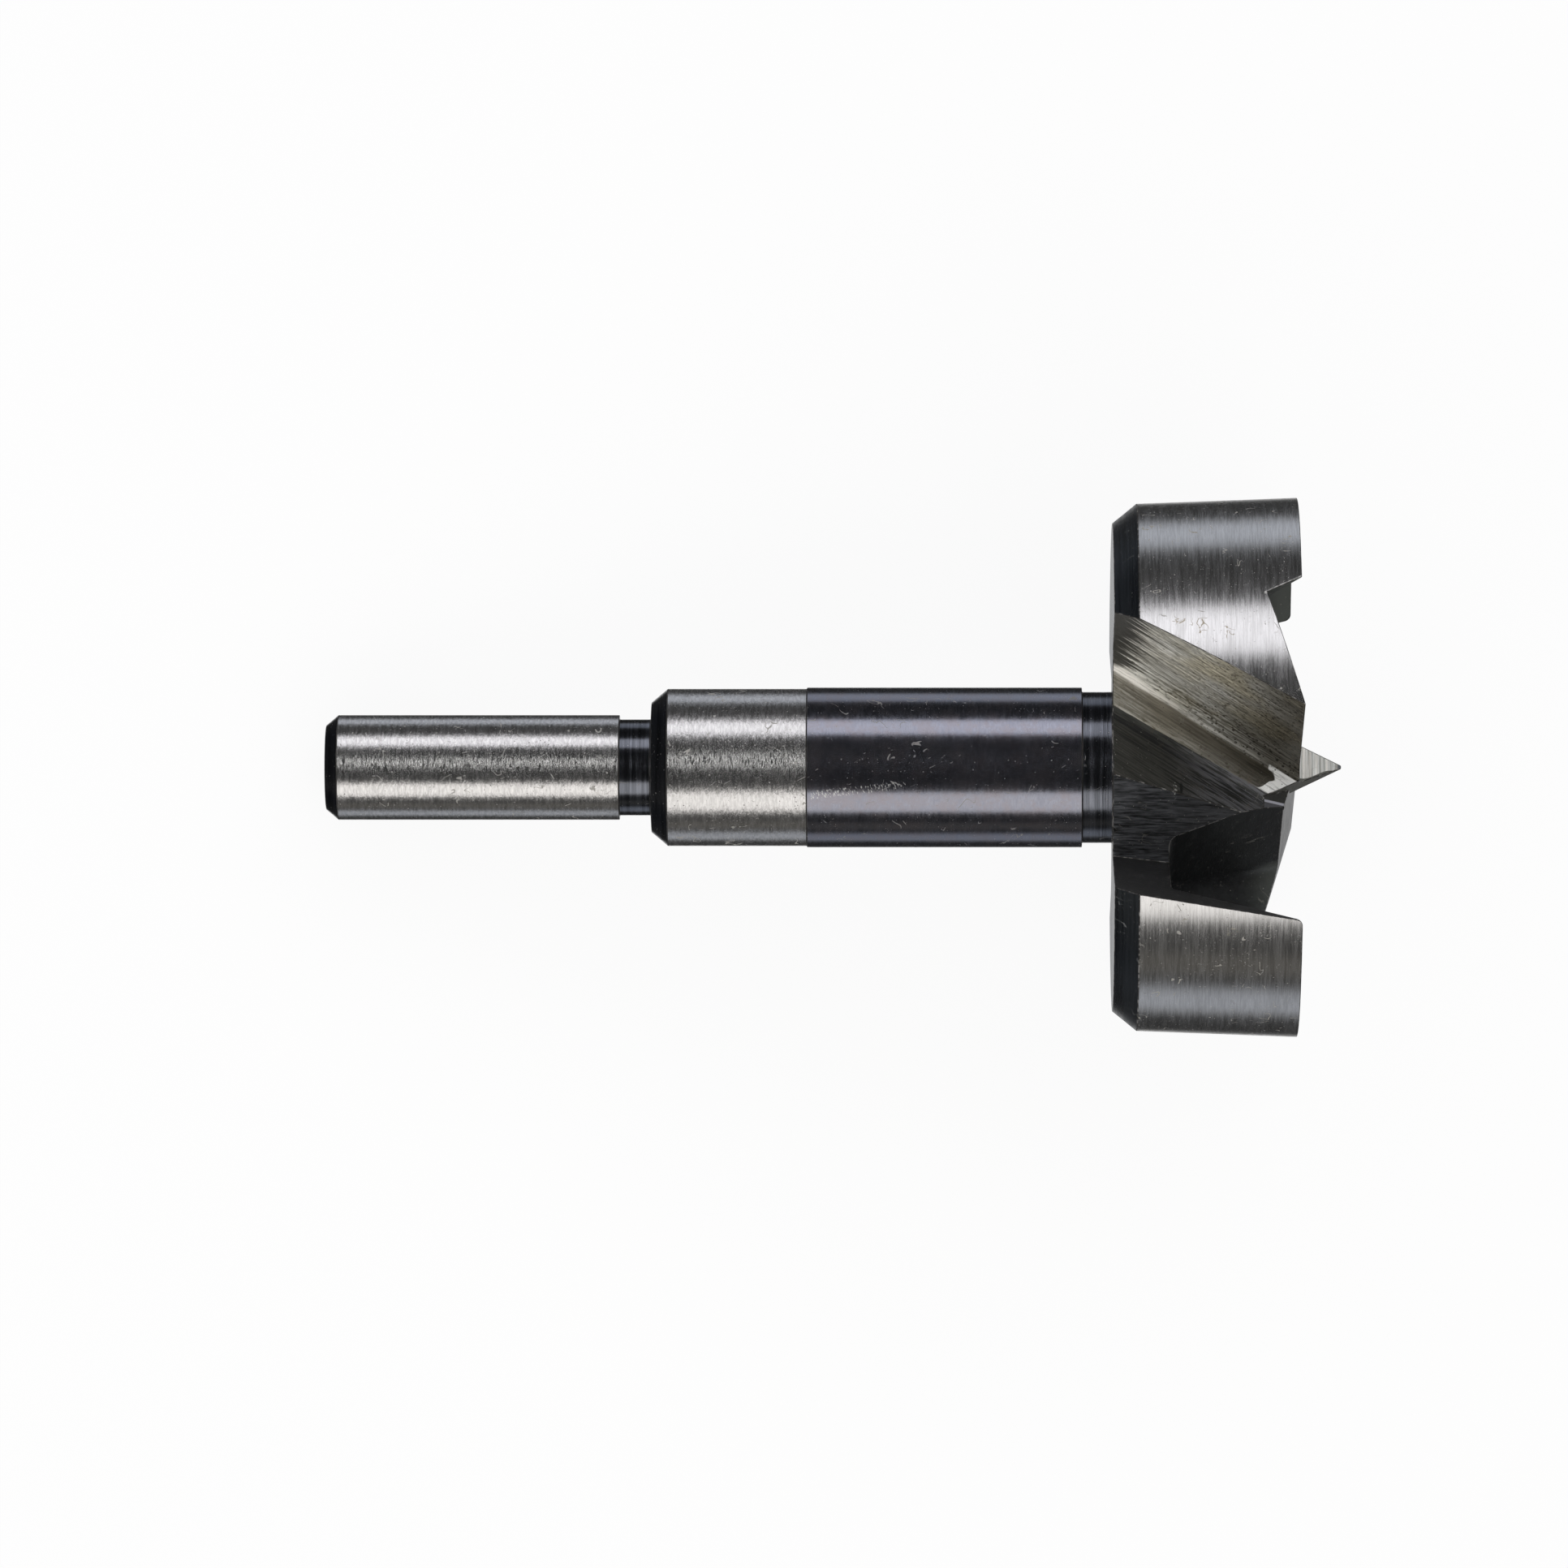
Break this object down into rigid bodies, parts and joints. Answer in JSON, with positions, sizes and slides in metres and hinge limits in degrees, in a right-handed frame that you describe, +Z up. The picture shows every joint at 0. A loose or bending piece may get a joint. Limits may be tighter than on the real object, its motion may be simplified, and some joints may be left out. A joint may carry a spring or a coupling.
{
  "type": "forstner bit",
  "caption": "Forstner bit with a plain round shank, a long body and a wide rimmed head with slanted cutting bars, gullets and a ground centre point.",
  "frame": {"origin": "middle of the bounding box on the surface that the bit lies on", "axes": "+X along the bit from the shank towards the head, +Z up, with the axis rising towards the head"},
  "size_m": [0.0968, 0.0514, 0.0493],
  "materials": {
    "steel": "ground, with blued and blackened stretches"
  },
  "bodies": {
    "root": {"forstner_bit": "steel"}
  },
  "joints": []
}
